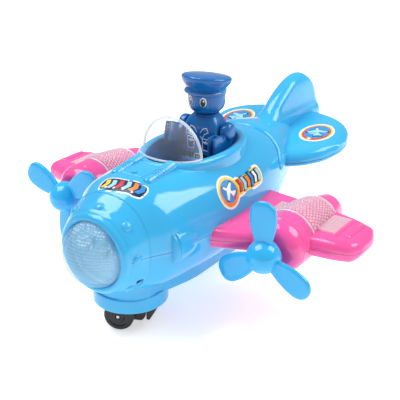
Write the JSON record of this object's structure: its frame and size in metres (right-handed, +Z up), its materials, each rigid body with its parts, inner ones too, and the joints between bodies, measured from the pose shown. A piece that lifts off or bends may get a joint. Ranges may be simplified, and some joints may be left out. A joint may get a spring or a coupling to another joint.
{
  "type": "toy airplane",
  "caption": "Chubby battery toy airplane with a swivelling nose drive unit, twin spinning propellers, lit clear nose and wing panels, and a pilot in an open cockpit.",
  "frame": {"origin": "middle of the airplane's footprint box on the floor it stands on", "axes": "+Z up, the nose points to -Y, +X is the pilot's left wing"},
  "size_m": [0.2248, 0.259, 0.1287],
  "materials": {
    "sky_plastic": "glossy injection-moulded light blue plastic",
    "pink_plastic": "glossy injection-moulded pink plastic",
    "navy_plastic": "glossy injection-moulded deep blue plastic",
    "clear_plastic": "clear styrene, lenses moulded with a prism grid",
    "frosted_plastic": "pale frosted plastic",
    "lamp_white": "milky epoxy lamp body",
    "black_plastic": "satin black plastic",
    "black_wheel": "glossy black plastic tread",
    "natural_plastic": "undyed acetal",
    "steel": "bright steel",
    "battery_wrap": "plain printed cell sleeve",
    "red_plastic": "glossy red plastic",
    "circuit_green": "green solder mask"
  },
  "bodies": {
    "root": {"fuselage_upper": "sky_plastic", "fuselage_lower": "sky_plastic", "belly_pan": "sky_plastic", "nose_lens": "clear_plastic", "nose_reflector": "frosted_plastic", "nose_lamp_left": "lamp_white", "nose_lamp_right": "lamp_white", "windscreen": "clear_plastic", "cockpit_tub": "navy_plastic", "pilot_body": "navy_plastic", "wing_left_upper": "pink_plastic", "wing_left_lower": "pink_plastic", "wing_right_upper": "pink_plastic", "wing_right_lower": "pink_plastic", "nacelle_cap_left": "pink_plastic", "nacelle_cap_right": "pink_plastic", "wing_lens_left": "clear_plastic", "wing_lens_right": "clear_plastic", "wing_lamp_left": "lamp_white", "wing_lamp_right": "lamp_white", "propeller_pin_left": "steel", "propeller_pin_right": "steel", "tail_upper": "sky_plastic", "tailplane_lower_left": "sky_plastic", "tailplane_lower_right": "sky_plastic", "drive_motor": "steel", "battery_box": "sky_plastic", "battery_door": "sky_plastic", "battery_door_screw": "steel", "battery_cell_1": "battery_wrap", "battery_cell_2": "battery_wrap", "battery_cell_3": "battery_wrap", "contact_front": "steel", "contact_rear": "steel", "switch_body": "black_plastic", "circuit_board": "circuit_green", "speaker": "black_plastic", "shell_screw_1": "steel", "shell_screw_2": "steel"},
    "drive_unit": {"drive_turntable": "black_plastic", "gearbox_cover": "black_plastic", "swivel_retainer": "natural_plastic"},
    "drive_wheels": {"drive_axle": "steel", "drive_wheel_left": "black_wheel", "drive_wheel_right": "black_wheel", "axle_gear": "natural_plastic"},
    "drive_shaft": {"drive_shaft": "steel", "shaft_gear": "natural_plastic"},
    "motor_rotor": {"motor_pinion": "natural_plastic"},
    "rear_wheels": {"rear_axle": "steel", "rear_wheel_left": "black_wheel", "rear_wheel_right": "black_wheel"},
    "propeller_left": {"propeller_left": "sky_plastic"},
    "propeller_right": {"propeller_right": "sky_plastic"},
    "pilot_head": {"pilot_head": "navy_plastic", "pilot_cap": "navy_plastic"},
    "pilot_arm_left": {"pilot_arm_left": "navy_plastic"},
    "pilot_arm_right": {"pilot_arm_right": "navy_plastic"},
    "power_switch": {"switch_knob": "red_plastic"}
  },
  "joints": [
    {"name": "drive_swivel", "type": "hinge", "parent": "root", "child": "drive_unit", "pos_m": [0, -0.0855, 0.02], "axis": [0, 0, 1], "continuous": true},
    {"name": "drive_wheels_spin", "type": "hinge", "parent": "drive_unit", "child": "drive_wheels", "pos_m": [-0.00343, -0.08689, 0.0086], "axis": [0.3746, -0.9272, 0], "continuous": true},
    {"name": "drive_shaft_spin", "type": "hinge", "parent": "root", "child": "drive_shaft", "pos_m": [0, -0.0855, 0.025], "axis": [0, 0, 1], "continuous": true},
    {"name": "motor_spin", "type": "hinge", "parent": "root", "child": "motor_rotor", "pos_m": [0, -0.0732, 0.0295], "axis": [0, 0, 1], "continuous": true},
    {"name": "rear_wheels_spin", "type": "hinge", "parent": "root", "child": "rear_wheels", "pos_m": [0, 0.0225, 0.0086], "axis": [1, 0, 0], "continuous": true},
    {"name": "propeller_left_spin", "type": "hinge", "parent": "root", "child": "propeller_left", "pos_m": [0.0713, -0.0606, 0.0502], "axis": [0, -1, 0], "continuous": true},
    {"name": "propeller_right_spin", "type": "hinge", "parent": "root", "child": "propeller_right", "pos_m": [-0.0713, -0.0606, 0.0502], "axis": [0, -1, 0], "continuous": true},
    {"name": "pilot_head_turn", "type": "hinge", "parent": "root", "child": "pilot_head", "pos_m": [0, -0.0095, 0.1046], "axis": [0, 0, 1], "continuous": true},
    {"name": "pilot_arm_left_swing", "type": "hinge", "parent": "root", "child": "pilot_arm_left", "pos_m": [0.0152, -0.0095, 0.095], "axis": [-1, 0, 0], "range_deg": [-8, 50]},
    {"name": "pilot_arm_right_swing", "type": "hinge", "parent": "root", "child": "pilot_arm_right", "pos_m": [-0.0152, -0.0095, 0.095], "axis": [-1, 0, 0], "range_deg": [-20, 30]},
    {"name": "power_switch_slide", "type": "slide", "parent": "root", "child": "power_switch", "axis": [0, 1, 0], "range_m": [0, 0.0034]}
  ],
  "couplings": [
    {"joint": "motor_spin", "follows": "drive_shaft_spin", "ratio": -3.75},
    {"joint": "drive_wheels_spin", "follows": "drive_shaft_spin", "ratio": 0.33333}
  ]
}
